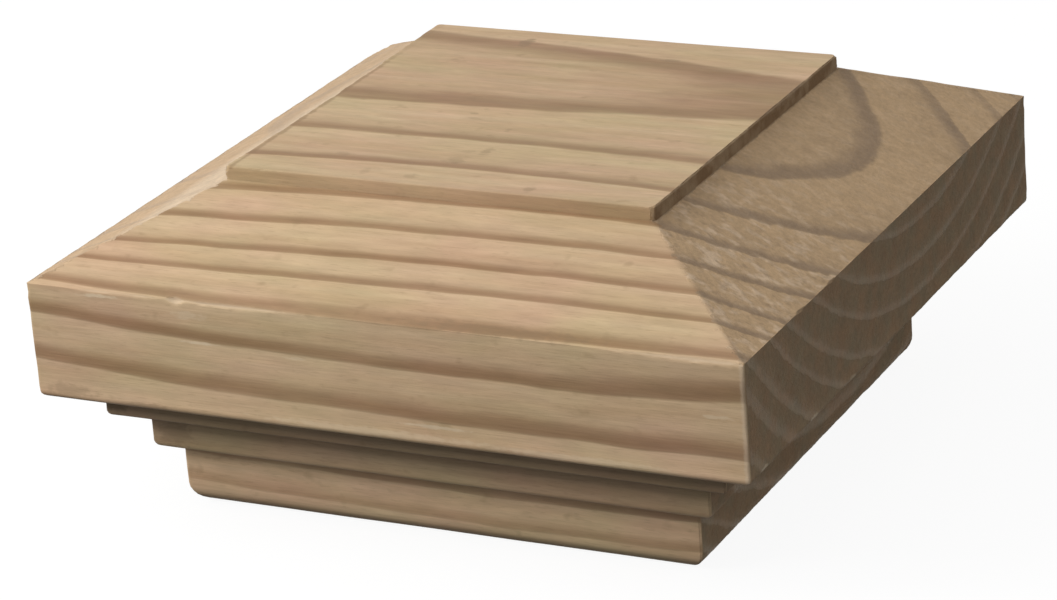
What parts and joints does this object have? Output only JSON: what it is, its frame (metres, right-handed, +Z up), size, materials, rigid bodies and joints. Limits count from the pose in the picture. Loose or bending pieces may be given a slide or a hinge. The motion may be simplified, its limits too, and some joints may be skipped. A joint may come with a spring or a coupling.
{
  "type": "wooden post cap",
  "caption": "Square softwood cap with bevels up to a raised flat top, over a stepped base with a socket that drops over a square post.",
  "frame": {"origin": "centre of the rim under the base, where the cap stands", "axes": "+Z up through the raised flat top, +X along the grain"},
  "size_m": [0.14, 0.14, 0.0643],
  "materials": {
    "softwood": "bare planed softwood, long grain along X, faintly rough end grain"
  },
  "bodies": {
    "root": {"post_cap": "softwood"}
  },
  "joints": []
}
